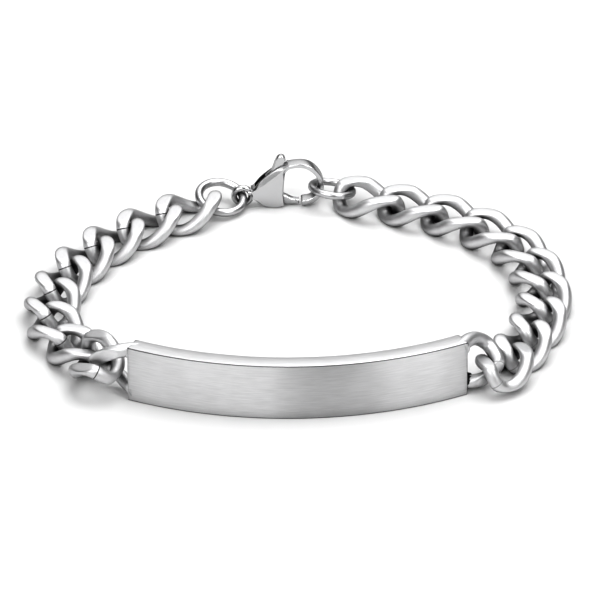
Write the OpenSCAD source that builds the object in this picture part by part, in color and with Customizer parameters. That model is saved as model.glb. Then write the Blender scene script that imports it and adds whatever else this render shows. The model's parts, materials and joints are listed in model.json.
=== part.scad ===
// Identity bracelet of stainless steel, lying closed on its side as it rests on a table.
// Units are millimetres. The curved plate stands in front on its long lower edge, the two
// lengths of filed curb chain run back from its soldered loops, and a lobster clasp with two
// rings closes the loop at the back. The floor is z = 0, and the middle of the plate's lower edge
// is the origin.

/* [Plate] */
// Straight distance between the two ends of the plate's front face
plate_l = 45; // [43:0.5:47]
// Height of the plate as it stands on its long edge
plate_h = 8; // [7.6:0.1:8.6]
// Thickness of the plate
plate_t = 2.5; // [2.2:0.1:2.8]
// Radius of the plate's front face
plate_r = 48.2; // [45:0.2:54]

/* [Chain] */
// Length of a link's centre line from end to end
link_l = 8.8; // [8.7:0.05:9]
// Width of a link's centre line
link_w = 6; // [5.9:0.05:6.2]
// Diameter of the links' wire
wire_d = 1.95; // [1.85:0.01:1.96]
// Thickness of a link between its two filed faces
link_t = 3.6; // [3.4:0.05:3.8]
// Length that each link shares with the next one
link_grip = 2.3; // [2.25:0.01:2.35]

/* [Rings] */
// Outside diameter of the large jump ring
jump_d = 7.35; // [7.3:0.05:7.5]
// Wire diameter of the large jump ring
jump_wire = 1.15; // [1:0.05:1.15]
// Outside diameter of the ring the clasp hooks into
end_d = 6.75; // [6.7:0.05:6.85]
// Wire diameter of the ring the clasp hooks into
end_wire = 1.05; // [0.95:0.05:1.05]

/* [Clasp] */
// Thickness of the clasp's body
clasp_t = 2.1; // [2:0.05:2.4]
// Thickness of the lever inside the body
lever_t = 0.9; // [0.8:0.05:0.95]
// Depth of the hook, measured along the pin
hook_t = 1.8; // [1.6:0.05:1.9]
// Diameter of the pin
pin_d = 0.8; // [0.7:0.02:0.9]
// Running clearance round the pin
pin_play = 0.06; // [0.04:0.01:0.1]

/* [Hidden] */
$fn = 48;
steel = [0.76, 0.77, 0.79];
polished = [0.86, 0.87, 0.89];
// Chain directions in whole degrees, from the third link out to the clasp, with 0 along the plate
left_turns = [75, 97, 109, 123, 131, 146, 145];
right_turns = [71, 88, 100, 113, 133, 143, 156, 157];
// Seat of the first link in a loop: along and across its axis, height, turn, roll and pitch
left_seat = [5.75, 0.5, 3.68, 79, 26, -3];
right_seat = [5.98, -0.67, 2.33, 68.6, -0.7, -6.4];
// Seat of the second link, its first two numbers being steps from the first link's seat
left_next = [0.715, 0.615, 1.86, 51.4, -1.5, -0.9];
right_next = [0.818, 0.626, 1.85, 65, 1, 0];
// The left side is pulled a little straighter, so its links stand further apart
left_pull = 0.05;
// Own turn of the last two links of each side, where the rings hold them
end_turns = [-5, -3];
// What the clasp adds to its two rings between the tips of the last two links
hold = 3.523;
// Clasp's own origin, seen from the middle between the two tips, and the middles of its two rings
clasp_seat = [1.063, 1.232, 0];
jump_seat = [-8.78, -0.85, 1.86];
end_seat = [6.68, 0, 2.36];
// Height of each side's last link's middle above the others'
left_lift = 0.15;
right_lift = 0.12;
// Loop on the plate: half length, half width, height of its middle
loop_a = 4.9;
loop_b = 3;
loop_z = 4.2;
twist = 60;

pitch = link_l - link_grip;
plate_half = asin(plate_l / 2 / plate_r);
plate_mid = plate_r - plate_t / 2;

// Twisted oval that a curb link's wire follows: a, b half sizes, n squareness, t angle round it
function power(x, n) = sign(x) * pow(abs(x), 2 / n);
function wire_point(a, b, n, t) =
    let (u = a * power(cos(t), n), v = b * power(sin(t), n), q = -twist * u / a)
    [u, v * cos(q), v * sin(q)];
function wire_ring(a, b, n, t, sides) =
    let (
        p = wire_point(a, b, n, t),
        d = wire_point(a, b, n, t + 1) - wire_point(a, b, n, t - 1),
        q = -twist * p[0] / a,
        s = cross(d, [0, -sin(q), cos(q)]),
        side = s / norm(s),
        c = cross(side, d),
        up = c / norm(c)
    )
    [for (k = [0 : sides - 1])
        let (
            g = 360 * (k + 0.5) / sides,
            w = p + wire_d / 2 * (cos(g) * side + sin(g) * up)
        )
        [w[0], w[1], min(max(w[2], -link_t / 2), link_t / 2)]];

function band(i, j, m) = [for (k = [0 : m - 1]) each [
    [i * m + k, i * m + (k + 1) % m, j * m + (k + 1) % m],
    [i * m + k, j * m + (k + 1) % m, j * m + k]]];

// Whole curb link, lying in its own frame with its length along x and its filed faces up and down
module link() {
    n = 20;
    m = 8;
    pts = [for (i = [0 : n - 1]) each wire_ring(link_l / 2, link_w / 2, 2.5, 360 * (i + 0.5) / n, m)];
    color(steel) polyhedron(pts, [for (i = [0 : n - 1]) each band(i, (i + 1) % n, m)], convexity = 6);
}

// Half a curb link with a root at each end, soldered upright to the plate
module half_link(side) {
    n = 12;
    m = 8;
    start = side > 0 ? -95 : 85;
    pts = [for (i = [0 : n]) each wire_ring(loop_a, loop_b, 3, start + 190 * i / n, m)];
    polyhedron(pts, [
        each [for (i = [0 : n - 1]) each band(i, i + 1, m)],
        [for (k = [m - 1 : -1 : 0]) k],
        [for (k = [0 : m - 1]) n * m + k]
    ], convexity = 6);
}

// Middle of the plate's end on one side, on the middle of its thickness
function plate_end(side) = [side * plate_mid * sin(plate_half), plate_mid * (1 - cos(plate_half)), 0];

// Places of one side's links: [x, y, z, turn, roll, pitch], mirrored for the left
function start_place(along, across, seat) =
    let (e = plate_end(1), a = plate_half)
    [e[0] + along * cos(a) - across * sin(a), e[1] + along * sin(a) + across * cos(a),
     seat[2], seat[3], seat[4], seat[5]];
function bent(turns, bend) = [for (i = [0 : len(turns) - 1]) turns[i] + bend * (i + 1)];
function walk(from, last, turns, step, i) =
    i >= len(turns) ? [] :
    let (
        h = (last + turns[i]) / 2,
        p = from + step * [cos(h), sin(h)]
    )
    concat([[p[0], p[1], link_t / 2, turns[i], 0, 0]], walk(p, turns[i], turns, step, i + 1));
function chain(seat, next, turns, step, bend) =
    let (
        a = start_place(seat[0], seat[1], seat),
        b = start_place(seat[0] + pitch * next[0], seat[1] + pitch * next[1], next)
    )
    concat([a, b], walk([b[0], b[1]], b[3], bent(turns, bend), step, 0));

// Tip of a side's last link, where a ring passes through it
function tip(places) =
    let (p = places[len(places) - 1], h = p[3] + end_turns[1])
    [p[0] + link_l / 2 * cos(h), p[1] + link_l / 2 * sin(h)];

// Bend added to both sides so that their tips stay the clasp's length apart
clasp_span = jump_d + end_d + hold;
function gap_at(bend) =
    let (p = tip(chain(left_seat, left_next, left_turns, pitch + left_pull, bend)),
         q = tip(chain(right_seat, right_next, right_turns, pitch, bend)))
    norm([p[0] + q[0], p[1] - q[1]]) - clasp_span;
function halve(lo, hi, k) =
    k == 0 ? (lo + hi) / 2 :
    let (mid = (lo + hi) / 2)
    gap_at(mid) > 0 ? halve(mid, hi, k - 1) : halve(lo, mid, k - 1);
bend = halve(-3, 3, 24);
left_chain = chain(left_seat, left_next, left_turns, pitch + left_pull, bend);
right_chain = chain(right_seat, right_next, right_turns, pitch, bend);

module link_at(side, places, i, lift) {
    p = places[i];
    last = len(places) - 1;
    turn = p[3] + (i >= last - 1 ? end_turns[i - last + 1] : 0);
    translate([side * p[0], p[1], p[2] + (i == last ? lift : 0)])
        rotate([side * p[4], -p[5], side > 0 ? turn : 180 - turn])
            link();
}
module left_link(i) link_at(-1, left_chain, i, left_lift);
module right_link(i) link_at(1, right_chain, i, right_lift);

// Frame of the clasp: origin under its middle, x from the bail to the hook
left_tip = tip(left_chain);
right_tip = tip(right_chain);
clasp_mid = [(right_tip[0] - left_tip[0]) / 2, (right_tip[1] + left_tip[1]) / 2, 0];
clasp_turn = atan2(right_tip[1] - left_tip[1], right_tip[0] + left_tip[0]) - 4.129;
module clasp_frame() translate(clasp_mid) rotate([0, 0, clasp_turn]) translate(clasp_seat) children();

// Flat outline in the clasp's x and z, given a thickness along y about the clasp's middle
module slab(t) translate([0, t / 2, 0]) rotate([90, 0, 0]) linear_extrude(height = t) children();
module torus(d, wire) rotate_extrude() translate([(d - wire) / 2, 0]) circle(d = wire, $fn = 16);

module id_plate() {
    color(steel) union() {
        intersection() {
            translate([0, plate_mid, 0]) difference() {
                cylinder(r = plate_r, h = plate_h, $fn = 160);
                translate([0, 0, -1]) cylinder(r = plate_r - plate_t, h = plate_h + 2, $fn = 160);
            }
            translate([0, plate_mid, -1]) linear_extrude(height = plate_h + 2)
                polygon([[0, 0], [-2 * plate_r * sin(plate_half), -2 * plate_r * cos(plate_half)],
                         [2 * plate_r * sin(plate_half), -2 * plate_r * cos(plate_half)]]);
        }
        for (side = [-1, 1])
            translate([plate_end(side)[0], plate_end(side)[1], loop_z])
                rotate([90, 0, side * plate_half]) half_link(side);
    }
}

module link_left_01() left_link(8);
module link_left_02() left_link(7);
module link_left_03() left_link(6);
module link_left_04() left_link(5);
module link_left_05() left_link(4);
module link_left_06() left_link(3);
module link_left_07() left_link(2);
module link_left_08() left_link(1);
module link_left_09() left_link(0);
module link_right_01() right_link(9);
module link_right_02() right_link(8);
module link_right_03() right_link(7);
module link_right_04() right_link(6);
module link_right_05() right_link(5);
module link_right_06() right_link(4);
module link_right_07() right_link(3);
module link_right_08() right_link(2);
module link_right_09() right_link(1);
module link_right_10() right_link(0);

module jump_ring()
    color(polished) clasp_frame() translate(jump_seat) rotate([13.5, 9, 0]) torus(jump_d, jump_wire);

module end_ring()
    color(polished) clasp_frame() translate(end_seat) rotate([-9, 9, 0]) torus(end_d, end_wire);

pivot = [-1, 1.35];

// Outer edge of the body and the band of its hook
body_outline = [[-4.5, 1.5], [-3.3, 0.6], [-2.4, 0.2], [-1.3, 0], [-0.6, 0.05], [0, 0.5], [-0.1, 2.5],
                [0, 4], [0.2, 5.6], [0.6, 6.6], [-0.2, 6.4], [-1.2, 5.9], [-2.3, 5.1], [-3.4, 4.1],
                [-4.2, 3], [-4.6, 2.6]];
hook_outline = [[-0.1, 5.6], [0.1, 6.35], [0.6, 6.58], [1.25, 6.73], [2, 6.8], [2.7, 6.76], [3.4, 6.55],
                [4.1, 6.1], [4.7, 5.45], [5.2, 4.6], [5.45, 3.7], [5.45, 2.8], [5.2, 2], [4.75, 1.3],
                [4.15, 0.75], [3.4, 0.4], [2.45, 0.3], [2.35, 0.95], [2.6, 1.1], [3.25, 1.2], [3.9, 1.5],
                [4.45, 2.05], [4.75, 2.75], [4.82, 3.6], [4.65, 4.3], [4.2, 5.1], [3.5, 5.75],
                [2.8, 6.1], [1.95, 6.22], [1, 6.12], [0.45, 5.85], [0.1, 5.3]];
lever_outline = [[-2.6, 4.75], [-2.1, 5.25], [-1.7, 5.75], [-1.45, 6.5], [-1.2, 7.2], [-0.95, 7.65],
                 [-0.45, 7.95], [0, 7.75], [0.2, 7.3], [0.1, 6.8], [-0.25, 6.3], [-0.6, 5.7],
                 [-0.9, 4.5], [-0.8, 3], [-0.3, 2], [0.4, 1.6], [1.2, 1.15], [2.05, 0.95],
                 [2.05, 0.3], [0.4, 0.25], [-0.6, 0.45], [-1.5, 0.6], [-2, 1.2], [-2.3, 2.6]];
slot_t = lever_t + 0.16;
pin_l = slot_t + 0.6;

module clasp_body() {
    color(polished) clasp_frame() difference() {
        union() {
            slab(clasp_t) polygon(body_outline);
            slab(hook_t) polygon(hook_outline);
            slab(1.4) translate([-4.5, 2.15]) square([0.9, 1.2], center = true);
            translate([-5.75, 0, 1.6]) rotate([90, 0, 0]) torus(3.2, 0.82);
        }
        // Slot that the lever turns in
        slab(slot_t) polygon([[-4.1, 9], [-4.1, 3.2], [-2.4, 0.9], [-1.6, -1], [2.2, -1],
                              [2.2, 2.2], [0.25, 2.6], [0.1, 3.9], [0.5, 5.3], [0.5, 9]]);
        translate([pivot[0], pin_l / 2 + 0.03, pivot[1]]) rotate([90, 0, 0])
            cylinder(d = pin_d, h = pin_l + 0.06);
    }
}

module clasp_lever() {
    color(polished) clasp_frame() difference() {
        slab(lever_t) polygon(lever_outline);
        translate([pivot[0], lever_t, pivot[1]]) rotate([90, 0, 0])
            cylinder(d = pin_d + 2 * pin_play, h = 2 * lever_t);
    }
}

module clasp_pin() {
    color(polished) clasp_frame() translate([pivot[0], pin_l / 2, pivot[1]])
        rotate([90, 0, 0]) cylinder(d = pin_d - 0.04, h = pin_l);
}

id_plate();
link_left_01();
link_left_02();
link_left_03();
link_left_04();
link_left_05();
link_left_06();
link_left_07();
link_left_08();
link_left_09();
link_right_01();
link_right_02();
link_right_03();
link_right_04();
link_right_05();
link_right_06();
link_right_07();
link_right_08();
link_right_09();
link_right_10();
jump_ring();
end_ring();
clasp_body();
clasp_lever();
clasp_pin();
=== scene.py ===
"""Identity bracelet of stainless steel, lying closed on its side on a white floor.

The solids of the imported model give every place. This script dresses them: the brushed plate with
its soldered loops, the filed curb links, the polished rings and the lobster clasp.
"""
import json
import logging
import math
from dataclasses import dataclass, replace
from enum import Enum
from typing import Iterable, Sequence

import bmesh
import bpy
import numpy as np
from bpy.types import Material, Mesh, Node, NodeSocket, NodeTree, Object
from mathutils import Matrix, Vector


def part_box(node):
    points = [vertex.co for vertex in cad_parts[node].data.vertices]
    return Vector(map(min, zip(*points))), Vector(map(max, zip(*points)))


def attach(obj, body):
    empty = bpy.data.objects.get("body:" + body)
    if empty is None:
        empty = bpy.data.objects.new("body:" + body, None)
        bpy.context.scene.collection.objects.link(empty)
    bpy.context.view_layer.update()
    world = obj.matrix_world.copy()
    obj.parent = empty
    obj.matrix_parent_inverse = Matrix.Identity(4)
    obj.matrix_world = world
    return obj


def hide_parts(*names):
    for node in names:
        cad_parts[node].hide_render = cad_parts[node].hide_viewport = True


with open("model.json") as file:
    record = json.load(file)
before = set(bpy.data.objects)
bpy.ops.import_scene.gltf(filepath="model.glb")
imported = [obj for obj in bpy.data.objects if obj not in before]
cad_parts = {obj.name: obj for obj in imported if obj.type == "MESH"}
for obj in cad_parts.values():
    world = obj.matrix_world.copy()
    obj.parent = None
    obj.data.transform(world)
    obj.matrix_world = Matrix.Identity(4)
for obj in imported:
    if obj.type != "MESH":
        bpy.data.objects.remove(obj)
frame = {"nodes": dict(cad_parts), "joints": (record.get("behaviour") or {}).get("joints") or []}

logging.basicConfig(level=logging.INFO, format="%(message)s")
LOG = logging.getLogger("bracelet")
MM = 0.001
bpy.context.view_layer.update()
BRACELET_BODY = "bracelet"
LEVER_BODY = "lever"
GRAIN_MAP = "grain"
SEAM_ATTRIBUTE = "seam_distance"
FILED_ATTRIBUTE = "filed_depth"
TURN_ATTRIBUTE = "turn"
# Places of the Mix node's two colour inputs and of its colour result.
MIX_COLOURS = (6, 7)
MIX_RESULT = 2
Pair = tuple[float, float]
Triple = tuple[float, float, float]


class Slot(Enum):
    """The record's material slots."""

    SATIN = "satin_steel"
    POLISHED = "polished_steel"


class Side(Enum):
    """The two sides of the plate, as signs along x."""

    LEFT = -1
    RIGHT = 1


class Value:
    """A number inside a node tree, which plain Python arithmetic extends with Math nodes."""

    def __init__(self, tree: NodeTree, socket: object) -> None:
        """Keep the tree and the output socket, or the plain number, that holds the value."""
        self.tree = tree
        self.socket = socket

    def math(self, operation: str, *others: object) -> "Value":
        """Result of a Math node of this value and others, which are Values or numbers."""
        node = add_node(self.tree, "ShaderNodeMath", dict(enumerate((self, *others))),
                        operation=operation)
        return Value(self.tree, node.outputs[0])

    def __add__(self, other: object) -> "Value":
        """Sum."""
        return self.math("ADD", other)

    def __sub__(self, other: object) -> "Value":
        """Difference."""
        return self.math("SUBTRACT", other)

    def __mul__(self, other: object) -> "Value":
        """Product."""
        return self.math("MULTIPLY", other)

    def step(self, low: float, high: float) -> "Value":
        """Smooth step from 0 at low to 1 at high, which may be the lower number."""
        node = add_node(self.tree, "ShaderNodeMapRange", {
            "Value": self, "From Min": low, "From Max": high}, interpolation_type="SMOOTHSTEP")
        return Value(self.tree, node.outputs["Result"])


def fill(tree: NodeTree, node: Node, inputs: dict) -> None:
    """Give each named or numbered input of a node its Value, socket or plain value."""
    for key, item in inputs.items():
        source = item.socket if isinstance(item, Value) else item
        if isinstance(source, NodeSocket):
            tree.links.new(source, node.inputs[key])
        else:
            node.inputs[key].default_value = source


def add_node(tree: NodeTree, kind: str, inputs: dict | None = None, **settings: object) -> Node:
    """Add one node.

    Args:
        tree: where it goes.
        kind: Blender's name of the node's type.
        inputs: as for fill.
        settings: values of the node's own properties.

    Returns:
        The new node.
    """
    node = tree.nodes.new(kind)
    for name, value in settings.items():
        setattr(node, name, value)
    fill(tree, node, inputs or {})
    return node


def combine(tree: NodeTree, x: Value, y: Value, z: Value) -> NodeSocket:
    """Vector socket made of three values."""
    return add_node(tree, "ShaderNodeCombineXYZ", {"X": x, "Y": y, "Z": z}).outputs[0]


def separate(tree: NodeTree, vector: NodeSocket) -> tuple[Value, Value, Value]:
    """The three parts of a vector socket."""
    node = add_node(tree, "ShaderNodeSeparateXYZ", {0: vector})
    return tuple(Value(tree, output) for output in node.outputs)


def coordinates(tree: NodeTree, kind: str = "Object") -> NodeSocket:
    """Coordinates of the object, or the world's directions if the kind is Generated."""
    return add_node(tree, "ShaderNodeTexCoord").outputs[kind]


def new_material(name: str, inputs: dict) -> tuple[Material, NodeTree, Node]:
    """Material with one Principled node, whose inputs are filled."""
    mat = bpy.data.materials.new(name)
    mat.use_nodes = True
    bsdf = mat.node_tree.nodes["Principled BSDF"]
    fill(mat.node_tree, bsdf, inputs)
    return mat, mat.node_tree, bsdf


@dataclass(frozen=True)
class SteelFinish:
    """Bare steel, described by its colour, its gloss and the fine marks on it."""

    name: str
    colour: Triple
    roughness: float
    roughness_change: float
    mark_scale: Triple
    mark_depth: float
    colour_change: float
    anisotropy: float = 0.0
    # Share by which the filed flats' tone is brightened, a painted sheen; their lower roughness is
    # the filed finish.
    filed: float = 0.0
    seam: float = 0.0
    # Strength and ambient occlusion settings of the painted shade in recesses, between parts and
    # next to the floor.
    recess_shade: float = 0.0
    rim: float = 0.4
    patch_scale: float = 160.0
    mark_detail: float = 3.0
    patch_detail: float = 2.0
    noise_roughness: float = 0.6
    filed_edge: Pair = (-0.06 * MM, 0.1 * MM)
    filed_gloss: float = 0.08
    seam_edge: Pair = (0.08 * MM, 0.03 * MM)
    seam_roughness: float = 0.3
    recess_shade_reach: float = 2.6 * MM
    recess_shade_edge: Pair = (0.12, 0.85)
    recess_shade_samples: int = 12

    def material(self) -> Material:
        """Procedural material on the piece's own grain map and on Object coordinates."""
        mat, tree, bsdf = new_material(self.name, {
            "Metallic": 1.0, "Anisotropic": self.anisotropy,
            "Specular Tint": (self.rim, self.rim, self.rim, 1.0)})
        grain = add_node(tree, "ShaderNodeUVMap", uv_map=GRAIN_MAP).outputs[0]
        fine = self.noise(tree, grain, self.mark_scale, self.mark_detail)
        broad = self.noise(tree, coordinates(tree), (self.patch_scale,) * 3, self.patch_detail)
        rough = fine * self.roughness_change + (self.roughness - self.roughness_change / 2)
        rough = rough + broad * (self.roughness_change / 2)
        tone = Value(tree, 1.0 - self.colour_change / 2) + (fine - 0.5) * self.colour_change
        tone = tone - (broad - 0.5) * (self.colour_change / 2)
        # The filed flats are smoother, and their brighter tone is a painted sheen.
        if self.filed:
            tone, rough = self.with_filed_sheen(tree, tone, rough)
        if self.seam:
            tone, rough = self.with_seam(tree, tone, rough)
        # Painted shade, by ambient occlusion, in recesses, between parts and next to the floor.
        if self.recess_shade:
            tone = self.with_recess_shade(tree, tone)
        own, change = MIX_COLOURS
        colour = add_node(tree, "ShaderNodeMix", {
            "Factor": 1.0, own: (*self.colour, 1.0), change: combine(tree, tone, tone, tone)},
            data_type="RGBA", blend_type="MULTIPLY")
        bump = add_node(tree, "ShaderNodeBump", {
            "Strength": 1.0, "Distance": self.mark_depth, "Height": fine})
        fill(tree, bsdf, {"Base Color": colour.outputs[MIX_RESULT], "Roughness": rough,
                          "Normal": bump.outputs[0]})
        if self.anisotropy:
            along = add_node(tree, "ShaderNodeTangent", direction_type="UV_MAP", uv_map=GRAIN_MAP)
            fill(tree, bsdf, {"Tangent": along.outputs[0]})
        return mat

    def noise(self, tree: NodeTree, vector: NodeSocket, scale: Triple, detail: float) -> Value:
        """Noise about 0.5, with scale marks per metre along each coordinate and detail octaves."""
        mapping = add_node(tree, "ShaderNodeMapping", {"Scale": scale, "Vector": vector})
        node = add_node(tree, "ShaderNodeTexNoise", {
            "Scale": 1.0, "Detail": detail, "Roughness": self.noise_roughness,
            "Vector": mapping.outputs[0]})
        return Value(tree, node.outputs[0])

    def attribute(self, tree: NodeTree, name: str) -> Value:
        """A number that is stored on the piece's points."""
        node = add_node(tree, "ShaderNodeAttribute", attribute_name=name)
        return Value(tree, node.outputs["Fac"])

    def with_filed_sheen(self, tree: NodeTree, tone: Value, rough: Value) -> tuple[Value, Value]:
        """Even the flats that a link was filed to, and brighten their tone as a painted sheen."""
        flat = self.attribute(tree, FILED_ATTRIBUTE).step(*self.filed_edge)
        return tone * (flat * self.filed + 1.0), rough - flat * self.filed_gloss

    def with_seam(self, tree: NodeTree, tone: Value, rough: Value) -> tuple[Value, Value]:
        """Darken the thin line where the wire of a link was closed and soldered."""
        distance = self.attribute(tree, SEAM_ATTRIBUTE).math("ABSOLUTE")
        line = distance.step(*self.seam_edge)
        return tone * (Value(tree, 1.0) - line * self.seam), rough + line * self.seam_roughness

    def with_recess_shade(self, tree: NodeTree, tone: Value) -> Value:
        """Painted shade: darken, by ambient occlusion, the places between parts that lie close and
        next to the floor, partly standing for the dull steel that polishing does not reach there.
        """
        node = add_node(tree, "ShaderNodeAmbientOcclusion", {
            "Distance": self.recess_shade_reach}, samples=self.recess_shade_samples)
        open_share = Value(tree, node.outputs["AO"]).step(*self.recess_shade_edge)
        return tone * (open_share * self.recess_shade + (1.0 - self.recess_shade))


BRUSHED_PLATE = SteelFinish(
    name="brushed plate steel", colour=(0.76, 0.76, 0.765), roughness=0.32, roughness_change=0.08,
    mark_scale=(5200.0, 330.0, 1.0), mark_depth=0.007 * MM, colour_change=0.34, anisotropy=1.0,
    recess_shade=0.5, rim=1.0)
PLATE_EDGE = SteelFinish(
    name="drawn plate edge steel", colour=(0.72, 0.72, 0.725), roughness=0.3, roughness_change=0.08,
    mark_scale=(4200.0, 330.0, 1.0), mark_depth=0.004 * MM, colour_change=0.3)
# The plate's rounded long edges get a near-black colour: a painted dark line of shade and
# reflection along them.
PAINTED_DARK_CORNER = replace(
    PLATE_EDGE, name="broken plate corner steel", colour=(0.12, 0.12, 0.122), roughness=0.4,
    roughness_change=0.1, recess_shade=0.8)
# Link steel: the brighter filed flats are a painted sheen, and the darker recesses are painted
# shade.
SATIN_LINK = SteelFinish(
    name="satin link steel", colour=(0.72, 0.72, 0.725), roughness=0.44, roughness_change=0.12,
    mark_scale=(3600.0, 1300.0, 1.0), mark_depth=0.008 * MM, colour_change=0.18, filed=0.14,
    seam=0.88, recess_shade=0.85)
FAINT_SEAM_LINK = replace(SATIN_LINK, name="satin link steel, dressed joint", seam=0.3)
SOLDER = SteelFinish(
    name="soldered joint steel", colour=(0.78, 0.78, 0.785), roughness=0.36, roughness_change=0.12,
    mark_scale=(2600.0, 2600.0, 1.0), mark_depth=0.02 * MM, colour_change=0.12)
SCORCHED_SOLDER = SteelFinish(
    name="scorched solder", colour=(0.1, 0.1, 0.1), roughness=0.45, roughness_change=0.3,
    mark_scale=(5200.0, 5200.0, 1.0), mark_depth=0.09 * MM, colour_change=1.4, recess_shade=0.6)
MIRROR_RING = SteelFinish(
    name="polished ring steel", colour=(0.56, 0.56, 0.565), roughness=0.3, roughness_change=0.04,
    mark_scale=(900.0, 300.0, 1.0), mark_depth=0.001 * MM, colour_change=0.04, recess_shade=0.6)
MIRROR_CLASP = SteelFinish(
    name="polished clasp steel", colour=(0.59, 0.59, 0.595), roughness=0.24, roughness_change=0.05,
    mark_scale=(700.0, 500.0, 1.0), mark_depth=0.0015 * MM, colour_change=0.05, recess_shade=0.6)


def new_object(name: str, data: bpy.types.ID) -> Object:
    """Object at the origin, in the scene's collection."""
    obj = bpy.data.objects.new(name, data)
    bpy.context.scene.collection.objects.link(obj)
    return obj


def settle(obj: Object, slot: Slot, *nodes: str, body: str = BRACELET_BODY) -> None:
    """Ride a finished piece on its body, in place of its CAD nodes."""
    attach(obj, body)
    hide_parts(*nodes)
    LOG.info("%s: %d faces, rides on %s", obj.name, len(obj.data.polygons), body)


def plain_mesh(obj: Object) -> None:
    """Turn the evaluated modifiers of an object into its own plain mesh."""
    bpy.context.view_layer.update()
    graph = bpy.context.evaluated_depsgraph_get()
    result = bpy.data.meshes.new_from_object(obj.evaluated_get(graph))
    obj.modifiers.clear()
    obj.data = result


def paint(mesh: Mesh, *materials: Material) -> None:
    """Add materials to a mesh."""
    for material in materials:
        mesh.materials.append(material)


def smooth(mesh: Mesh, degrees: float = 40) -> None:
    """Shade smooth, with edges sharper than the angle kept sharp."""
    mesh.polygons.foreach_set("use_smooth", [True] * len(mesh.polygons))
    mesh.set_sharp_from_angle(angle=math.radians(degrees))


def circle(count: int) -> list[float]:
    """Angles of equal steps round a full turn."""
    return [2 * math.pi * k / count for k in range(count)]


def torus(radius: float, wire: float, turns: int, sides: int, depth: float = 1.0) -> np.ndarray:
    """Points of a ring of wire about the z axis, the wire stretched along z by the depth."""
    rings = []
    for a in circle(turns):
        ring = []
        for b in circle(sides):
            out = radius + wire / 2 * math.cos(b)
            ring.append((out * math.cos(a), out * math.sin(a), wire / 2 * depth * math.sin(b)))
        rings.append(ring)
    return np.array(rings)


def grid_mesh(name: str, rings: np.ndarray, closed_path: bool,
              grain: tuple[np.ndarray, np.ndarray] | None = None) -> Mesh:
    """Skin over rings of points.

    Args:
        name: the mesh's name.
        rings: array of ring count by ring size by 3, in metres.
        closed_path: whether the last ring joins the first; if not, both end rings are filled.
        grain: UV map as the distances round the ring and along the path, each with one more than
            there are points or rings; left out where another map follows.

    Returns:
        The mesh, with its faces pointing outwards.
    """
    count, size = rings.shape[:2]
    bm = bmesh.new()
    verts = [[bm.verts.new(p) for p in ring] for ring in rings]
    uv = bm.loops.layers.uv.new(GRAIN_MAP)
    round_way, long_way = grain or (np.zeros(size + 1), np.zeros(count + 1))
    for i in range(count if closed_path else count - 1):
        for k in range(size):
            corners = ((i, k), (i, k + 1), (i + 1, k + 1), (i + 1, k))
            face = bm.faces.new([verts[a % count][b % size] for a, b in corners])
            for loop, (a, b) in zip(face.loops, corners):
                loop[uv].uv = (round_way[b], long_way[a])
    if not closed_path:
        for i in (0, count - 1):
            face = bm.faces.new(verts[i])
            for k, loop in enumerate(face.loops):
                loop[uv].uv = (round_way[k], long_way[i])
    bmesh.ops.recalc_face_normals(bm, faces=bm.faces)
    if bm.calc_volume(signed=True) < 0:
        bmesh.ops.reverse_faces(bm, faces=bm.faces)
    mesh = bpy.data.meshes.new(name)
    bm.to_mesh(mesh)
    bm.free()
    return mesh


def spaced(points: np.ndarray) -> np.ndarray:
    """Running length over a closed row of points, from 0 to the whole way round."""
    path = np.vstack([points, points[:1]])
    steps = np.linalg.norm(np.diff(path, axis=0), axis=1)
    return np.concatenate([[0.0], np.cumsum(steps)])


def column(items: bpy.types.bpy_prop_collection, name: str, kind: type) -> np.ndarray:
    """One property of all the items of a mesh's collection."""
    values = np.zeros(len(items), kind)
    items.foreach_get(name, values)
    return values


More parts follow.
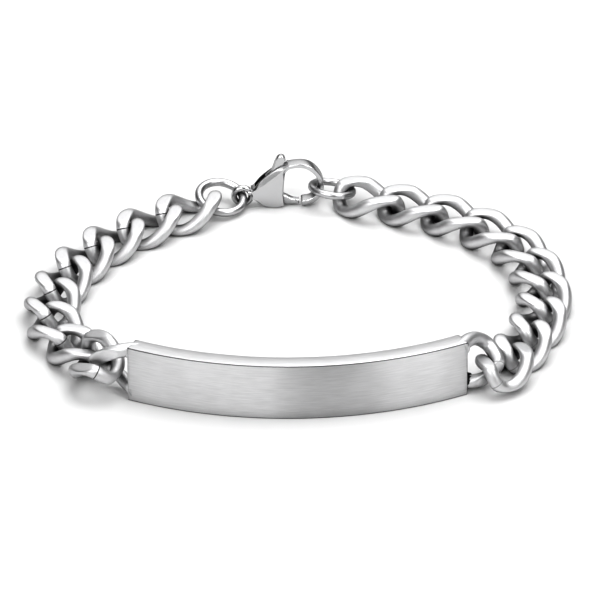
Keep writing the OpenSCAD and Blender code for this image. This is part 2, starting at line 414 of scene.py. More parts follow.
@dataclass(frozen=True)
class CurbShape:
    """A curb link: a squarish oval of round wire, twisted along its length and filed flat."""

    half_length: float = 4.36 * MM
    half_width: float = 2.91 * MM
    squareness: float = 2.5
    twist: float = math.radians(60)
    wire: float = 0.95 * MM
    filed: float = 3.6 * MM
    edge: float = 0.75 * MM
    seam_shift: float = -0.8 * MM
    half_sweep: float = math.radians(190)
    steps: int = 168
    half_steps: int = 89
    sides: int = 36
    least_factor: float = 0.001

    def tree(self, name: str, material: Material, seats: bool) -> NodeTree:
        """Geometry Nodes tree that sweeps the wire.

        Args:
            name: the tree's name.
            material: finish of the wire.
            seats: whole links on the points of the modified mesh, or the one half link of a loop.

        Returns:
            The tree, with named inputs for the link's sizes.
        """
        tree = bpy.data.node_groups.new(name, "GeometryNodeTree")
        for way in ("INPUT", "OUTPUT"):
            tree.interface.new_socket("Geometry", in_out=way, socket_type="NodeSocketGeometry")
        for label in self.inputs():
            tree.interface.new_socket(label, in_out="INPUT", socket_type="NodeSocketFloat")
        source = tree.nodes.new("NodeGroupInput")
        sizes = {label: Value(tree, source.outputs[label]) for label in self.inputs()}
        wire = self.swept_wire(tree, sizes, whole=seats)
        if seats:
            turn = add_node(tree, "GeometryNodeInputNamedAttribute", {
                "Name": TURN_ATTRIBUTE}, data_type="FLOAT_VECTOR")
            wire = add_node(tree, "GeometryNodeInstanceOnPoints", {
                "Points": source.outputs["Geometry"], "Instance": wire,
                "Rotation": turn.outputs["Attribute"]}).outputs[0]
        real = add_node(tree, "GeometryNodeRealizeInstances", {0: wire})
        finish = add_node(tree, "GeometryNodeSetMaterial", {
            "Geometry": real.outputs[0], "Material": material})
        add_node(tree, "NodeGroupOutput", {0: finish.outputs[0]})
        return tree

    def inputs(self) -> dict[str, float]:
        """Names and values of the tree's inputs."""
        return {"Half Length": self.half_length, "Half Width": self.half_width,
                "Squareness": self.squareness, "Twist": self.twist, "Wire Radius": self.wire,
                "Filed Thickness": self.filed, "Edge Rounding": self.edge}

    def swept_wire(self, tree: NodeTree, sizes: dict[str, Value], whole: bool) -> NodeSocket:
        """Wire of one link about the origin, its length along x and its filed faces up and down."""
        path = {"Resolution": self.steps, "Radius": 1.0}
        if whole:
            curve = add_node(tree, "GeometryNodeCurvePrimitiveCircle", path)
        else:
            path.update({"Resolution": self.half_steps, "Start Angle": -self.half_sweep / 2,
                         "Sweep Angle": self.half_sweep})
            curve = add_node(tree, "GeometryNodeCurveArc", path)
        place = add_node(tree, "GeometryNodeInputPosition").outputs[0]
        cos, sin, _ = separate(tree, place)
        power = Value(tree, 2.0).math("DIVIDE", sizes["Squareness"])
        along = cos.math("SIGN") * cos.math("ABSOLUTE").math("POWER", power)
        across = sizes["Half Width"] * sin.math("SIGN") * sin.math("ABSOLUTE").math("POWER", power)
        angle = sizes["Twist"] * along * -1.0
        spot = combine(tree, sizes["Half Length"] * along, across * angle.math("COSINE"),
                       across * angle.math("SINE"))
        shape = add_node(tree, "GeometryNodeSetPosition", {
            "Geometry": curve.outputs["Curve"], "Position": spot})
        even = add_node(tree, "GeometryNodeResampleCurve", {
            "Curve": shape.outputs[0], "Count": path["Resolution"]})
        profile = add_node(tree, "GeometryNodeCurvePrimitiveCircle", {
            "Resolution": self.sides, "Radius": sizes["Wire Radius"]})
        length = add_node(tree, "GeometryNodeSplineParameter").outputs["Length"]
        skin = add_node(tree, "GeometryNodeCurveToMesh", {
            "Curve": self.marked(tree, even.outputs[0]), "Fill Caps": not whole,
            "Profile Curve": self.stored(tree, profile.outputs["Curve"], "around", length)})
        x, y, z = separate(tree, place)
        half = sizes["Filed Thickness"] * 0.5
        depth = z.math("ABSOLUTE") - half
        cut = self.stored(tree, skin.outputs[0], FILED_ATTRIBUTE, depth)
        z = z.math("SMOOTH_MIN", half, sizes["Edge Rounding"])
        z = z.math("SMOOTH_MAX", half * -1.0, sizes["Edge Rounding"])
        filed = add_node(tree, "GeometryNodeSetPosition", {
            "Geometry": cut, "Position": combine(tree, x, y, z)})
        return filed.outputs[0]

    def marked(self, tree: NodeTree, curve: NodeSocket) -> NodeSocket:
        """Store on the path how far each point is from its start and from the wire's joint."""
        node = add_node(tree, "GeometryNodeSplineParameter")
        length, factor = Value(tree, node.outputs["Length"]), Value(tree, node.outputs["Factor"])
        curve = self.stored(tree, curve, "along", length)
        total = length.math("DIVIDE", factor.math("MAXIMUM", self.least_factor))
        seam = length - total * 0.5 - self.seam_shift
        return self.stored(tree, curve, SEAM_ATTRIBUTE, seam)

    def stored(self, tree: NodeTree, geometry: NodeSocket, name: str, value: object) -> NodeSocket:
        """Store a number on the points of a geometry."""
        return add_node(tree, "GeometryNodeStoreNamedAttribute", {
            "Geometry": geometry, "Name": name, "Value": value}, data_type="FLOAT").outputs[0]

    def grown(self, name: str, base: Mesh, material: Material, seats: bool) -> Object:
        """Piece that the tree makes of a base mesh: one point a link, or any for the half link."""
        obj = new_object(name, base)
        tree = self.tree(name + " wire", material, seats)
        modifier = obj.modifiers.new("wire", "NODES")
        modifier.node_group = tree
        for item in tree.interface.items_tree:
            if item.name in self.inputs():
                modifier[item.identifier] = self.inputs()[item.name]
        plain_mesh(obj)
        self.lay_grain(obj.data)
        smooth(obj.data, 60)
        return obj

    def lay_grain(self, mesh: Mesh) -> None:
        """Turn the stored lengths into the UV map that the drawn wire's fine marks follow."""
        corners = column(mesh.loops, "vertex_index", np.int32)
        starts = column(mesh.polygons, "loop_start", np.int32)
        totals = column(mesh.polygons, "loop_total", np.int32)
        owner = np.repeat(np.arange(len(totals)), totals)
        coords = np.zeros((len(corners), 2), np.float32)
        for axis, (name, steps) in enumerate((("around", self.sides), ("along", self.steps))):
            values = column(mesh.attributes[name].data, "value", np.float32)[corners]
            whole = values.max() + values.max() / steps
            top = np.maximum.reduceat(values, starts)[owner]
            wrapped = (top - values) > whole / 2
            coords[:, axis] = values + wrapped * whole
        mesh.uv_layers.new(name=GRAIN_MAP).data.foreach_set("uv", coords.ravel())


@dataclass
class LinkSeat:
    """Where one curb link lies, read from its solid."""

    middle: Vector
    axes: Matrix

    @classmethod
    def of(cls, node: str, onward: Vector) -> "LinkSeat":
        """Read a seat from a solid, which is the same after a half turn about each of its axes.

        Args:
            node: name of the link's CAD node.
            onward: rough direction from this link towards the clasp.

        Returns:
            The seat: middle, and axes along the link, across it and up through it.
        """
        mesh = frame["nodes"][node].data
        mesh.calc_loop_triangles()
        points = np.array([v.co for v in mesh.vertices])
        corners = points[np.array([t.vertices for t in mesh.loop_triangles])]
        normal = np.cross(corners[:, 1] - corners[:, 0], corners[:, 2] - corners[:, 0])
        weight = np.linalg.norm(normal, axis=1)
        weight /= weight.sum()
        middle = (corners.mean(1) * weight[:, None]).sum(0)
        spread = np.zeros((3, 3))
        for pair in ((0, 1), (1, 2), (2, 0)):
            mids = (corners[:, pair[0]] + corners[:, pair[1]]) / 2 - middle
            spread += np.einsum("n,ni,nj->ij", weight / 3, mids, mids)
        _, vectors = np.linalg.eigh(spread)
        along = Vector(vectors[:, 2])
        up = Vector(vectors[:, 0])
        along = -along if along.dot(onward) < 0 else along
        up = -up if up.z < 0 else up
        across = up.cross(along)
        return cls(Vector(middle), Matrix((along, across, up)).transposed())


@dataclass
class CurbChain:
    """One side of the chain, from the clasp back to the plate."""

    side: Side
    count: int
    shape: CurbShape = CurbShape()

    @property
    def nodes(self) -> list[str]:
        """Names of the links' solids, from the clasp to the plate."""
        return [f"link_{self.side.name.lower()}_{i:02d}" for i in range(1, self.count + 1)]

    def seats(self) -> list[LinkSeat]:
        """Seats of all the links."""
        middles = {name: sum(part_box(name), Vector()) / 2 for name in self.nodes}
        seats = []
        for index, name in enumerate(self.nodes):
            before = self.nodes[max(index - 1, 0)]
            after = self.nodes[min(index + 1, self.count - 1)]
            seats.append(LinkSeat.of(name, middles[before] - middles[after]))
        return seats

    def build(self, material: Material) -> None:
        """Make the side's links as one piece that stands for all of their solids."""
        seats = self.seats()
        side = self.side.name.lower()
        base = bpy.data.meshes.new(f"seats {side}")
        base.from_pydata([seat.middle for seat in seats], [], [])
        turn = base.attributes.new(TURN_ATTRIBUTE, "FLOAT_VECTOR", "POINT")
        for point, seat in zip(turn.data, seats):
            point.vector = seat.axes.to_euler("XYZ")
        obj = self.shape.grown(f"curb_chain_{side}", base, material, seats=True)
        settle(obj, Slot.SATIN, *self.nodes)


@dataclass
class IdPlate:
    """The curved plate, standing on its long edge, with a half link soldered to each end."""

    chord: float = 45.0 * MM
    height: float = 8.0 * MM
    thickness: float = 2.5 * MM
    front_radius: float = 48.2 * MM
    corner: float = 0.14 * MM
    least_corner: float = 0.02 * MM
    corner_loss: float = 0.6
    top_rise: float = 0.98
    corner_rise: float = 0.15
    loop_height: float = 4.2 * MM
    loop_shape: CurbShape = CurbShape(
        half_length=4.86 * MM, half_width=2.9 * MM, squareness=3.0, seam_shift=-1.6 * MM)
    arc_steps: int = 144
    corner_steps: int = 4
    solder_turns: int = 40
    solder_half: Pair = (0.74, 0.9)
    solder_shift: float = 0.2 * MM
    solder_grain: float = 0.15
    even_ripple: Pair = (0.05, 0.03)
    scorched_ripple: Pair = (0.06, 0.05)
    scorched_run: float = 2.6

    solder_profile = (
        (1.36, -0.06), (1.35, 0.06), (1.31, 0.2), (1.24, 0.34), (1.1, 0.46), (0.8, 0.3),
        (0.8, -0.1))

    @property
    def middle_radius(self) -> float:
        """Radius of the plate's middle surface."""
        return self.front_radius - self.thickness / 2

    @property
    def half_angle(self) -> float:
        """Angle from the plate's middle to its end."""
        return math.asin(self.chord / 2 / self.front_radius)

    def section(self, inset: float) -> np.ndarray:
        """Rounded rectangle of the plate's cross-section, shrunk by the inset."""
        across, up = self.thickness / 2 - inset, self.height / 2 - inset
        round_off = max(self.corner - inset * self.corner_loss, self.least_corner)
        points = []
        for sx, sz, start in ((1, 1, 0), (-1, 1, 90), (-1, -1, 180), (1, -1, 270)):
            for k in range(self.corner_steps + 1):
                a = math.radians(start + 90 * k / self.corner_steps)
                points.append((sx * (across - round_off) + round_off * math.cos(a),
                               sz * (up - round_off) + round_off * math.sin(a)))
        return np.array(points)

    def bar(self, materials: Sequence[Material]) -> None:
        """Sweep the section along the plate's arc, with all its edges broken."""
        end, middle = self.half_angle, self.middle_radius
        turns = [math.pi / 2 * (1 - k / self.corner_steps) for k in range(self.corner_steps)]
        eased = [(self.corner * (1 - math.sin(a)), self.corner * (1 - math.cos(a))) for a in turns]
        stops = [(-end + back / middle, inset) for back, inset in eased]
        start, finish = -end + self.corner / middle, end - self.corner / middle
        stops += [(start + (finish - start) * k / self.arc_steps, 0.0)
                  for k in range(self.arc_steps + 1)]
        stops += [(end - back / middle, inset) for back, inset in reversed(eased)]
        rings = []
        for angle, inset in stops:
            flat = self.section(inset)
            radius = middle + flat[:, 0]
            rings.append(np.stack([radius * math.sin(angle), middle - radius * math.cos(angle),
                                   flat[:, 1] + self.height / 2], axis=1))
        grain = (spaced(self.section(0.0)), np.array([angle * middle for angle, _ in stops]))
        mesh = grid_mesh("plate", np.array(rings), False, grain)
        paint(mesh, *materials)
        for face in mesh.polygons:
            rise = abs(face.normal.z)
            # Faces of the rounded long edges take the third finish, the painted dark line of shade
            # and reflection.
            face.material_index = 1 if rise > self.top_rise else 2 if rise > self.corner_rise else 0
        smooth(mesh, 35)
        settle(new_object("plate", mesh), Slot.SATIN, "id_plate")

    def end_frame(self, side: Side) -> Matrix:
        """Frame of a plate's end: x along the plate, y up, z towards the viewer."""
        angle = self.half_angle * side.value
        origin = Vector((self.middle_radius * math.sin(angle),
                         self.middle_radius * (1 - math.cos(angle)), self.loop_height))
        along = Vector((math.cos(angle), math.sin(angle), 0))
        up = Vector((0, 0, 1))
        turn = Matrix((along, up, along.cross(up))).transposed().to_4x4()
        return Matrix.Translation(origin) @ turn

    def loop(self, side: Side, material: Material) -> None:
        """Half link with its two roots in the plate's end."""
        base = bpy.data.meshes.new("loop seat")
        base.from_pydata([(0, 0, 0)], [], [])
        obj = self.loop_shape.grown(f"plate_loop_{side.name.lower()}", base, material, seats=False)
        half_turn = Matrix.Rotation(math.pi, 4, "Z") if side is Side.LEFT else Matrix.Identity(4)
        obj.data.transform(self.end_frame(side) @ half_turn)
        settle(obj, Slot.SATIN, "id_plate")

    def collar(self, side: Side, sign: int, scorched: bool) -> np.ndarray:
        """Points of one collar of solder, round the upper root for sign 1 and the lower for -1."""
        high, deep = self.solder_half
        run = self.scorched_run if scorched else 1.0
        middle = sign * (self.loop_shape.half_width - self.solder_shift)
        rings = []
        for a in circle(self.solder_turns):
            # Each ripple has a whole number of waves, so the collar closes.
            wide, fine = self.even_ripple
            swell = 1 + wide * math.sin(3 * a + sign) + fine * math.sin(5 * a + 2 * side.value)
            if scorched:
                wide, fine = self.scorched_ripple
                swell += wide * math.sin(13 * a) + fine * math.cos(9 * a)
            rings.append([(side.value * max(x * run, x) * MM,
                           middle + high * r * swell * math.cos(a) * MM,
                           deep * r * swell * math.sin(a) * MM) for r, x in self.solder_profile])
        return np.array(rings)

    def solder(self, side: Side, materials: Sequence[Material]) -> None:
        """Collars of solder round a loop's two roots, the lower one in the second finish if any."""
        bm = bmesh.new()
        for sign in (-1, 1):
            scorched = sign < 0 and len(materials) > 1
            rings = self.collar(side, sign, scorched)
            grain = (spaced(rings[0]), np.arange(len(rings) + 1) * self.solder_grain * MM)
            one = grid_mesh("collar", rings, True, grain)
            for face in one.polygons:
                face.material_index = int(scorched)
            bm.from_mesh(one)
        bmesh.ops.recalc_face_normals(bm, faces=bm.faces)
        mesh = bpy.data.meshes.new("solder")
        bm.to_mesh(mesh)
        bm.free()
        mesh.transform(self.end_frame(side))
        paint(mesh, *materials)
        smooth(mesh)
        obj = new_object(f"solder_{side.name.lower()}", mesh)
        settle(obj, Slot.SATIN, "id_plate")

    def build(self, plate_steels: Sequence[Material], link_steel: Material,
              solder_steels: Sequence[Material]) -> None:
        """Make the plate with both of its loops, the right one with its lower root scorched."""
        self.bar(plate_steels)
        for side in Side:
            self.loop(side, link_steel)
            self.solder(side, solder_steels if side is Side.RIGHT else solder_steels[:1])


@dataclass
class WireRing:
    """A closed ring of round polished wire, whose place is read from its solid."""

    node: str
    outer: float
    wire: float
    turns: int = 128
    sides: int = 32

    def build(self, material: Material) -> None:
        """Lay the ring in the plane of its solid."""
        points = np.array([v.co for v in frame["nodes"][self.node].data.vertices])
        middle = np.array(sum(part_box(self.node), Vector()) / 2)
        _, vectors = np.linalg.eigh(np.cov((points - middle).T))
        axis = Vector(vectors[:, 0])
        turn = axis.to_track_quat("Z", "Y").to_matrix()
        radius = (self.outer - self.wire) / 2
        rings = torus(radius, self.wire, self.turns, self.sides)
        grain = (np.arange(self.sides + 1) * math.pi * self.wire / self.sides,
                 np.arange(self.turns + 1) * 2 * math.pi * radius / self.turns)
        mesh = grid_mesh(self.node, rings, True, grain)
        mesh.transform(Matrix.Translation(Vector(middle)) @ turn.to_4x4())
        paint(mesh, material)
        smooth(mesh)
        obj = new_object(f"{self.node}_wire", mesh)
        settle(obj, Slot.POLISHED, self.node)


@dataclass
class LobsterClasp:
    """The clasp in its own flat frame, in mm: x from the bail to the hook, z up, y through it."""

    body_thickness: float = 2.1
    hook_depth: float = 1.8
    slot_width: float = 1.06
    lever_thickness: float = 0.9
    case_bevel: float = 0.4
    case_bevel_width: float = 0.16
    wide_bevel: float = 0.62
    wide_bevel_line: Triple = (1.15, 4.6, 0.9)
    hook_bevel: float = 0.1
    lever_bevel: float = 0.16
    cutter_bevel: float = 0.01
    sharp_bevel_width: float = 0.015
    sharp_cosine: float = 0.85
    bevel_spread: float = 0.33
    bevel_passes: int = 40
    pivot: Pair = (-1.0, 1.35)
    pin: float = 0.92
    bail_middle: Pair = (-5.75, 1.6)
    bail_outer: float = 3.2
    bail_wire: float = 0.82
    bail_steps: tuple[int, int] = (72, 24)
    bail_depth: float = 1.1
    neck_start: float = -5.0
    neck_length: float = 1.1
    neck_half_width: float = 0.62
    neck_middle: float = 2.05
    neck_waist: Pair = (0.46, 0.8)
    neck_thinnest: float = 0.375
    neck_flare: float = 0.55
    neck_flare_at_bail: float = 0.25
    neck_widening: Pair = (0.85, 0.35)
    neck_rise: float = 0.12
    neck_steps: tuple[int, int] = (12, 28)
    bore_steps: int = 32
    grain_slant: float = 0.7

    bevel_profile = (
        (0.0, 0.0), (0.03, 0.16), (0.08, 0.26), (0.5, 0.62), (0.88, 0.94), (0.95, 0.985),
        (1.0, 1.0))
    body_outline = (
        (-4.5, 1.5), (-3.3, 0.6), (-2.4, 0.2), (-1.3, 0.0), (-0.6, 0.05), (0.0, 0.5), (-0.1, 2.5),
        (0.0, 4.0), (0.2, 5.6), (0.6, 6.6), (-0.2, 6.4), (-1.2, 5.9), (-2.3, 5.1), (-3.4, 4.1),
        (-4.2, 3.0), (-4.6, 2.6))
    hook_outline = (
        (-0.1, 5.6), (0.1, 6.35), (0.6, 6.58), (1.25, 6.73), (2.0, 6.8), (2.7, 6.76), (3.4, 6.55),
        (4.1, 6.1), (4.7, 5.45), (5.2, 4.6), (5.45, 3.7), (5.45, 2.8), (5.2, 2.0), (4.75, 1.3),
        (4.15, 0.75), (3.4, 0.4), (2.45, 0.3), (2.35, 0.95), (2.6, 1.1), (3.25, 1.2), (3.9, 1.5),
        (4.45, 2.05), (4.75, 2.75), (4.82, 3.6), (4.65, 4.3), (4.2, 5.1), (3.5, 5.75), (2.8, 6.1),
        (1.95, 6.22), (1.0, 6.12), (0.45, 5.85), (0.1, 5.3))
    lever_outline = (
        (-2.6, 4.75), (-2.1, 5.25), (-1.7, 5.75), (-1.45, 6.5), (-1.2, 7.2), (-0.95, 7.65),
        (-0.45, 7.95), (0.0, 7.75), (0.2, 7.3), (0.1, 6.8), (-0.25, 6.3), (-0.6, 5.7), (-0.9, 4.5),
        (-0.8, 3.0), (-0.3, 2.0), (0.4, 1.6), (1.2, 1.15), (2.05, 0.95), (2.05, 0.3), (0.4, 0.25),
        (-0.6, 0.45), (-1.5, 0.6), (-2.0, 1.2), (-2.3, 2.6))
    body_corners = (0, 5, 9, 15)
    hook_corners = (0, 1, 16, 17, 31)
    lever_corners = (0, 17, 18)
    slot_outline = (
        (-4.1, 9.0), (-4.1, 3.2), (-2.4, 0.9), (-1.6, -1.0), (2.2, -1.0), (2.2, 2.2), (0.25, 2.6),
        (0.1, 3.9), (0.5, 5.3), (0.5, 9.0))

    def place(self) -> Matrix:
        """Frame of the clasp in the bracelet, read from the pin and from the hinge's axis."""
        joint = next(j for j in frame["joints"] if j["name"] == "clasp_lever")
        pin_middle = sum(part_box("clasp_pin"), Vector()) / 2
        back = -Vector(joint["axis"]).normalized()
        up = Vector((0, 0, 1))
        along = back.cross(up)
        turn = Matrix((along, back, up)).transposed().to_4x4()
        offset = Vector((-self.pivot[0] * MM, 0, -self.pivot[1] * MM))
        return Matrix.Translation(pin_middle) @ turn @ Matrix.Translation(offset)

    def rounded(self, outline: Sequence[Pair], corners: Iterable[int],
                steps: int = 6) -> np.ndarray:
        """Smooth curve through an outline's points, kept sharp at the given corners.

        Args:
            outline: points in the clasp's x and z.
            corners: indices of points that stay corners.
            steps: new points for each stretch.

        Returns:
            The curve's points.
        """
        points = np.array(outline, float)
        count = len(points)
        sharp = set(corners)
        result = []
        for i in range(count):
            a, b = points[i], points[(i + 1) % count]
            before = a if i in sharp else points[i - 1]
            after = b if (i + 1) % count in sharp else points[(i + 2) % count]
            chord = np.linalg.norm(b - a)
            into = (b - before) / max(np.linalg.norm(b - before), 1e-9) * chord
            out = (after - a) / max(np.linalg.norm(after - a), 1e-9) * chord
            for k in range(steps):
                t = k / steps
                weights = (2 * t**3 - 3 * t**2 + 1, t**3 - 2 * t**2 + t, -2 * t**3 + 3 * t**2,
                           t**3 - t**2)
                result.append(sum(w * part for w, part in zip(weights, (a, into, b, out))))
        return np.array(result)

    def slab(self, name: str, outline: np.ndarray, depth: float, bevel: float,
             widths: np.ndarray | None = None) -> Object:
        """Flat shape with softened edges.

        Args:
            name: the object's name.
            outline: its points in the clasp's x and z.
            depth: thickness through the clasp.
            bevel: how deep its edges are softened.
            widths: how far they are softened along the face, for each point; as the bevel if None.

        Returns:
            The slab, standing in the clasp's own frame.
        """
        widths = np.full(len(outline), bevel) if widths is None else widths
        x, z = outline.T
        if (x * np.roll(z, -1) - z * np.roll(x, -1)).sum() < 0:
            outline, widths = outline[::-1], widths[::-1]
        step = np.roll(outline, -1, 0) - outline
        length = np.linalg.norm(step, axis=1)
        ahead = step / length[:, None]
        mean = ahead + np.roll(ahead, 1, 0)
        mean /= np.linalg.norm(mean, axis=1)[:, None]
        inward = np.stack([-mean[:, 1], mean[:, 0]], axis=1)
        sharp = (ahead * np.roll(ahead, 1, 0)).sum(1) < self.sharp_cosine
        widths = np.where(sharp, self.sharp_bevel_width, widths)
        for _ in range(self.bevel_passes):
            before = np.roll(widths, 1) + self.bevel_spread * np.roll(length, 1)
            after = np.roll(widths, -1) + self.bevel_spread * length
            widths = np.minimum(widths, np.minimum(before, after))
        rings = []
        for sign, steps in ((1, self.bevel_profile[::-1]), (-1, self.bevel_profile)):
            for across, deep in steps:
                flat = outline + inward * (widths * across)[:, None]
                y = np.full(len(flat), sign * (depth / 2 - bevel + bevel * deep))
                rings.append(np.stack([flat[:, 0], y, flat[:, 1]], axis=1) * MM)
        return new_object(name, grid_mesh(name, np.array(rings), False))

    def bail(self) -> Object:
        """Round eye that the jump ring passes through."""
        radius = (self.bail_outer - self.bail_wire) / 2
        rings = torus(radius, self.bail_wire, *self.bail_steps, self.bail_depth)
        x, z = rings[..., 0] + self.bail_middle[0], rings[..., 1] + self.bail_middle[1]
        rings = np.stack([x, rings[..., 2], z], axis=2) * MM
        return new_object("bail", grid_mesh("bail", rings, True))

    def neck(self) -> Object:
        """Short waisted bar between the bail and the body, which grows towards the body."""
        steps, sides = self.neck_steps
        thin, thick = self.neck_waist
        rings = []
        for k in range(steps + 1):
            t = k / steps
            x = self.neck_start + self.neck_length * t
            share = 1 if t > self.neck_thinnest else self.neck_flare_at_bail
            waist = thin + self.neck_flare * (2 * (t - self.neck_thinnest)) ** 2 * share
            height = min(waist, thick)
            width = self.neck_half_width * (self.neck_widening[0] + self.neck_widening[1] * t)
            rings.append([(x * MM, width * math.sin(b) * MM,
                           (self.neck_middle + self.neck_rise * t + height * math.cos(b)) * MM)
                          for b in circle(sides)])
        return new_object("neck", grid_mesh("neck", np.array(rings), False))

    def cut(self, obj: Object, other: Object, operation: str) -> None:
        """Join or cut one mesh with another, and drop the other."""
        modifier = obj.modifiers.new("cut", "BOOLEAN")
        modifier.operation = operation
        modifier.solver = "EXACT"
        modifier.object = other
        plain_mesh(obj)
        bpy.data.objects.remove(other)

    def flat_grain(self, mesh: Mesh) -> None:
        """UV map in metres, straight through the clasp's flat frame."""
        layer = mesh.uv_layers.get(GRAIN_MAP) or mesh.uv_layers.new(name=GRAIN_MAP)
        for loop in mesh.loops:
            co = mesh.vertices[loop.vertex_index].co
            slant = co.y * self.grain_slant
            layer.data[loop.index].uv = (co.x + slant, co.z + slant)

    def finished(self, obj: Object, name: str, material: Material, node: str,
                 body: str = BRACELET_BODY) -> None:
        """Place a part of the clasp in the bracelet, dress it and put it in place of its node."""
        mesh = obj.data
        mesh.name = obj.name = name
        self.flat_grain(mesh)
        mesh.transform(self.place())
        mesh.materials.clear()
        paint(mesh, material)
        smooth(mesh, 28)
        settle(obj, Slot.POLISHED, node, body=body)

    def body(self, material: Material) -> None:
        """Body with its slot, hook, neck and bail, as one casting, its upper left edge bevelled."""
        outline = self.rounded(self.body_outline, self.body_corners)
        slope, level, run = self.wide_bevel_line
        upper = np.clip((outline[:, 1] - slope * outline[:, 0] - level) / run, 0, 1)
        obj = self.slab("clasp_case", outline, self.body_thickness, self.case_bevel,
                        self.case_bevel_width + self.wide_bevel * upper)
        hook = self.slab("hook", self.rounded(self.hook_outline, self.hook_corners),
                         self.hook_depth, self.hook_bevel)
        for part in (hook, self.neck(), self.bail()):
            self.cut(obj, part, "UNION")
        slot = self.slab("slot", np.array(self.slot_outline), self.slot_width, self.cutter_bevel)
        self.cut(obj, slot, "DIFFERENCE")
        self.finished(obj, "clasp_case", material, "clasp_body")

    def lever(self, material: Material) -> None:
        """Lever with its thumb tab and gate arm, bored for the pin."""
        obj = self.slab("lever", self.rounded(self.lever_outline, self.lever_corners),
                        self.lever_thickness, self.lever_bevel)
        turns = np.linspace(0, 2 * math.pi, self.bore_steps, endpoint=False)
        bore = np.stack([self.pivot[0] + self.pin / 2 * np.cos(turns),
                         self.pivot[1] + self.pin / 2 * np.sin(turns)], axis=1)
        cutter = self.slab("bore", bore, 2 * self.lever_thickness, self.cutter_bevel)
        self.cut(obj, cutter, "DIFFERENCE")
        self.finished(obj, "clasp_lever_plate", material, "clasp_lever", LEVER_BODY)

    def build(self, material: Material, pin_material: Material) -> None:
        """Make the whole clasp, whose pin keeps its solid and gets a steel of its own."""
        self.body(material)
        self.lever(material)
        pin = frame["nodes"]["clasp_pin"].data
        pin.materials.clear()
        paint(pin, pin_material)


@dataclass(frozen=True)
class PinFinish:
    """Plain turned steel of the pin inside the clasp, on Object coordinates."""

    name: str = "turned pin steel"
    colour: Triple = (0.8, 0.8, 0.81)
    roughness: float = 0.25
    mark_pitch: float = 0.08 * MM
    mark_change: float = 0.05

    def material(self) -> Material:
        """Steel with fine turning marks round the pin."""
        mat, tree, bsdf = new_material(self.name, {
            "Metallic": 1.0, "Base Color": (*self.colour, 1.0)})
        _, y, _ = separate(tree, coordinates(tree))
        marks = (y * (2 * math.pi / self.mark_pitch)).math("SINE") * self.mark_change
        fill(tree, bsdf, {"Roughness": marks + self.roughness})
        return mat


@dataclass(frozen=True)
class Zone:
    """Part of the tent between four soft edges, each given from outside to inside.

    Rise and fall are bearings in degrees from the front, positive to the right, and no edge where
    they lie beyond 180. Low and high are heights as the z of a direction.
    """

    rise: Pair
    fall: Pair
    low: Pair
    high: Pair

    def share(self, bearing: Value, z: Value) -> Value:
        """1 inside the zone and 0 outside it."""
        across = bearing.step(*self.rise) * bearing.step(*self.fall)
        return across * z.step(*self.low) * z.step(*self.high)


DARK_ZONES = (
    Zone((-4.0, -2.0), (29.0, 27.5), (0.01, 0.06), (0.93, 0.8)),
    Zone((58.0, 70.0), (142.0, 128.0), (0.01, 0.06), (0.72, 0.5)),
    Zone((-142.0, -128.0), (-58.0, -70.0), (0.01, 0.06), (0.72, 0.5)))
DIM_ZONES = (
    Zone((60.0, 75.0), (200.0, 190.0), (0.01, 0.05), (0.36, 0.22)),
    Zone((-200.0, -190.0), (-60.0, -75.0), (0.01, 0.05), (0.36, 0.22)))
LIT_ZONES = (
    Zone((-62.0, -50.0), (-2.0, -4.0), (0.4, 0.52), (0.85, 0.7)),
    Zone((27.5, 29.0), (66.0, 54.0), (0.4, 0.52), (0.85, 0.7)))


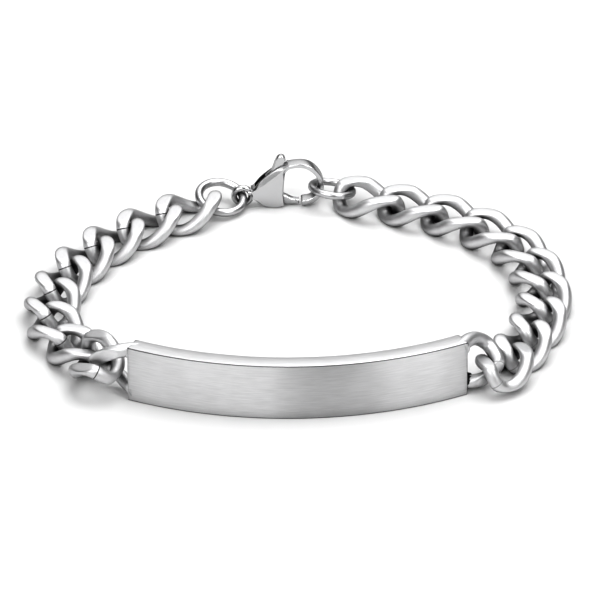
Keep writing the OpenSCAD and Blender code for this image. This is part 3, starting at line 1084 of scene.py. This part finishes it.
@dataclass
class Studio:
    """White floor, soft lights, and the camera where the photograph was taken from."""

    camera_place: Triple = (-0.0236, -0.75615, 0.4536)
    elevation: float = 29.97
    yaw: float = 1.80
    sensor: float = 36.0
    focal_px: float = 6693.0
    image_px: float = 600.0
    clip: Pair = (0.01, 20.0)
    floor_half: float = 3.0
    floor_colour: float = 0.715
    floor_roughness: float = 0.9
    floor_gloss: float = 0.1
    tent: float = 0.66
    dim: float = 0.5
    lit: float = 4.6
    aim: Triple = (0.0, 0.03, 0.0)
    gamma: float = 0.78

    def camera(self) -> None:
        """Long lens from above the front, as in the photograph."""
        data = bpy.data.cameras.new("camera")
        data.sensor_width = self.sensor
        data.lens = self.focal_px / self.image_px * self.sensor
        data.clip_start, data.clip_end = self.clip
        cam = new_object("camera", data)
        cam.location = self.camera_place
        cam.rotation_euler = (math.radians(90 - self.elevation), 0, math.radians(-self.yaw))
        bpy.context.scene.camera = cam

    def floor(self) -> None:
        """Wide white sheet under the bracelet."""
        mesh = bpy.data.meshes.new("floor")
        half = self.floor_half
        mesh.from_pydata([(-half, -half, 0), (half, -half, 0), (half, half, 0), (-half, half, 0)],
                         [], [(0, 1, 2, 3)])
        mat, _, _ = new_material("white floor", {
            "Base Color": (self.floor_colour, self.floor_colour, self.floor_colour, 1.0),
            "Roughness": self.floor_roughness, "Specular IOR Level": self.floor_gloss})
        paint(mesh, mat)
        new_object("floor", mesh)

    def world(self) -> None:
        """Bright tent for the steel to mirror: dark in front and at the sides, lit beside those."""
        world = bpy.data.worlds.new("tent")
        world.use_nodes = True
        tree = world.node_tree
        x, y, z = separate(tree, coordinates(tree, "Generated"))
        bearing = x.math("ARCTAN2", y * -1.0) * (180 / math.pi)
        dark, dim, lit = (sum((zone.share(bearing, z) for zone in zones), Value(tree, 0.0))
                          for zones in (DARK_ZONES, DIM_ZONES, LIT_ZONES))
        bright = (Value(tree, self.tent) - dim * self.dim) * (Value(tree, 1.0) - dark)
        bright = bright + lit * self.lit
        fill(tree, tree.nodes["Background"], {
            "Color": combine(tree, bright, bright, bright), "Strength": 1.0})
        bpy.context.scene.world = world

    def panel(self, name: str, place: Triple, size: Pair, power: float) -> None:
        """Soft box that points at the bracelet."""
        data = bpy.data.lights.new(name, "AREA")
        data.shape = "RECTANGLE"
        data.size, data.size_y = size
        data.energy = power
        light = new_object(name, data)
        light.location = place
        aim = Vector(self.aim) - Vector(place)
        light.rotation_euler = aim.to_track_quat("-Z", "Y").to_euler()

    def build(self) -> None:
        """Set the whole studio."""
        self.camera()
        self.floor()
        self.world()
        self.panel("back box", place=(0.0, 0.72, 0.5), size=(1.0, 0.42), power=0.95)
        self.panel("key box", place=(0.2, 0.24, 0.92), size=(0.95, 0.75), power=8.0)
        scene = bpy.context.scene
        scene.view_settings.view_transform = "Standard"
        scene.view_settings.look = "None"
        scene.view_settings.exposure = 0.0
        scene.view_settings.gamma = self.gamma


def main() -> None:
    """Build the bracelet and its studio."""
    Studio().build()
    plate_steels = [finish.material() for finish in (BRUSHED_PLATE, PLATE_EDGE, PAINTED_DARK_CORNER)]
    link_steel = SATIN_LINK.material()
    ring_steel = MIRROR_RING.material()
    clasp_steel = MIRROR_CLASP.material()
    faint_steel = FAINT_SEAM_LINK.material()
    solder_steels = [SOLDER.material(), SCORCHED_SOLDER.material()]
    IdPlate().build(plate_steels, faint_steel, solder_steels)
    CurbChain(Side.LEFT, 9).build(link_steel)
    CurbChain(Side.RIGHT, 10, CurbShape(seam_shift=0.8 * MM)).build(faint_steel)
    WireRing("jump_ring", outer=7.35 * MM, wire=1.15 * MM).build(ring_steel)
    WireRing("end_ring", outer=6.75 * MM, wire=1.05 * MM).build(ring_steel)
    LobsterClasp().build(clasp_steel, PinFinish().material())


if __name__ == "__main__":
    main()
